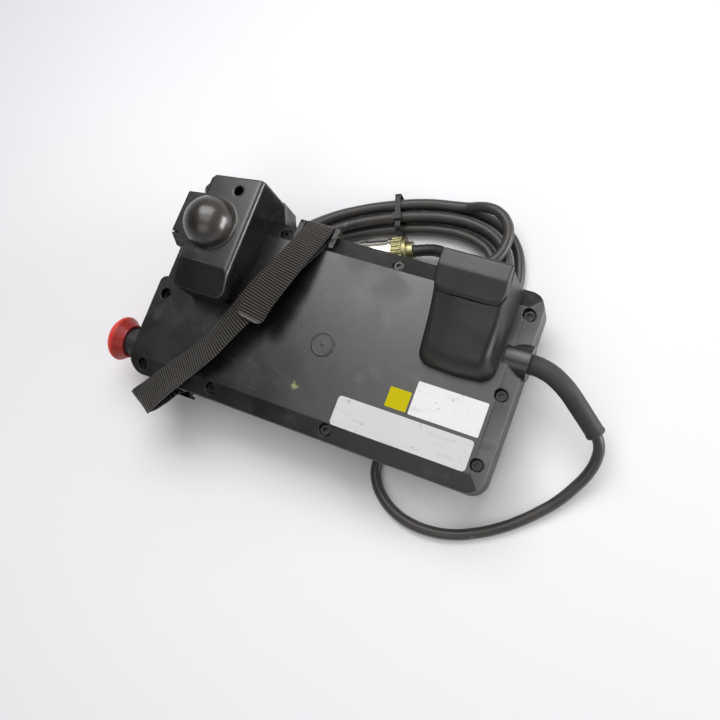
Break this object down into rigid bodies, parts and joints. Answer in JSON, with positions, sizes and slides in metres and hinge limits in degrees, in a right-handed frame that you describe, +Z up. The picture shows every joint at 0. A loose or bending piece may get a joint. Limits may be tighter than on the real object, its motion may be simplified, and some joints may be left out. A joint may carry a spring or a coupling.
{
  "type": "pendant control station",
  "caption": "Hand-held control pendant lying face down, with a stop button, joystick housing, enabling grip, hand strap and a coiled cable ending in a round connector.",
  "frame": {"origin": "middle of the pendant on the surface it rests on, without the cable", "axes": "+X along the long side towards the cable entry, +Y towards the far side with the coil, +Z up out of the back"},
  "size_m": [0.4296, 0.2769, 0.125],
  "materials": {
    "black_plastic": "satin moulded",
    "dark_plastic": "matte",
    "black_rubber": "matte",
    "grey_cable": "matte",
    "webbing": "woven",
    "red_plastic": "satin",
    "steel": "plated",
    "nickel": "worn plating",
    "olive_brass": "dull plating",
    "board_green": "solder resist",
    "window_clear": "clear",
    "display_grey": "gloss",
    "keypad_grey": "matte film"
  },
  "bodies": {
    "housing": {"front_shell": "black_plastic", "rear_cover": "black_plastic", "cover_seal": "black_rubber", "cover_screws": "steel", "joystick_housing": "black_plastic", "housing_screw": "steel", "grip_housing": "black_plastic", "lever_pin": "steel", "enabling_switch": "dark_plastic", "bumper_left": "black_rubber", "bumper_pod": "black_rubber", "bumper_right": "black_rubber", "stop_collar": "dark_plastic", "stop_nut": "steel", "stop_contacts": "dark_plastic", "main_board": "board_green", "board_screws": "steel", "display_module": "display_grey", "display_window": "window_clear", "keypad_membrane": "keypad_grey", "joystick_base": "dark_plastic", "joystick_sensor": "board_green", "hand_strap": "webbing", "strap_loop": "steel", "strap_clamp": "steel", "cable_clamp": "dark_plastic", "cable_boot": "black_rubber", "cable_lead": "grey_cable", "cable_coil": "grey_cable", "cable_tail": "grey_cable", "cable_tie": "dark_plastic", "connector_shell": "nickel", "connector_insert": "dark_plastic", "connector_nut": "olive_brass"},
    "lever": {"enabling_lever": "black_plastic"},
    "plunger": {"switch_plunger": "red_plastic"},
    "stop_slide": {"stop_stem": "steel"},
    "stop_knob": {"stop_head": "red_plastic"},
    "gimbal": {"gimbal_ring": "steel"},
    "stick": {"joystick_stick": "dark_plastic"},
    "coupling": {"connector_ring": "olive_brass"}
  },
  "joints": [
    {"name": "lever_press", "type": "hinge", "parent": "housing", "child": "lever", "pos_m": [0.129, 0.07894, 0.1085], "axis": [1, 0, 0], "range_deg": [0, 4], "stiffness_Nm_per_rad": 0.73},
    {"name": "plunger_travel", "type": "slide", "parent": "housing", "child": "plunger", "axis": [0, 0, -1], "range_m": [0, 0.0013]},
    {"name": "stop_push", "type": "slide", "parent": "housing", "child": "stop_slide", "axis": [1, 0, 0], "range_m": [0, 0.004]},
    {"name": "stop_release", "type": "hinge", "parent": "stop_slide", "child": "stop_knob", "pos_m": [-0.169, -0.05006, 0.041], "axis": [1, 0, 0], "range_deg": [0, 45], "stiffness_Nm_per_rad": 0.1},
    {"name": "stick_x", "type": "hinge", "parent": "housing", "child": "gimbal", "pos_m": [-0.11, 0.04294, 0.047], "axis": [1, 0, 0], "range_deg": [-15, 15], "stiffness_Nm_per_rad": 0.3},
    {"name": "stick_y", "type": "hinge", "parent": "gimbal", "child": "stick", "pos_m": [-0.11, 0.04294, 0.047], "axis": [0, 1, 0], "range_deg": [-15, 15], "stiffness_Nm_per_rad": 0.3},
    {"name": "ring_turn", "type": "hinge", "parent": "housing", "child": "coupling", "pos_m": [0.03504, 0.10206, 0.0137], "axis": [0.9397, 0.342, 0], "continuous": true}
  ],
  "couplings": [
    {"joint": "plunger_travel", "follows": "lever_press", "m_per_rad": 0.018}
  ]
}
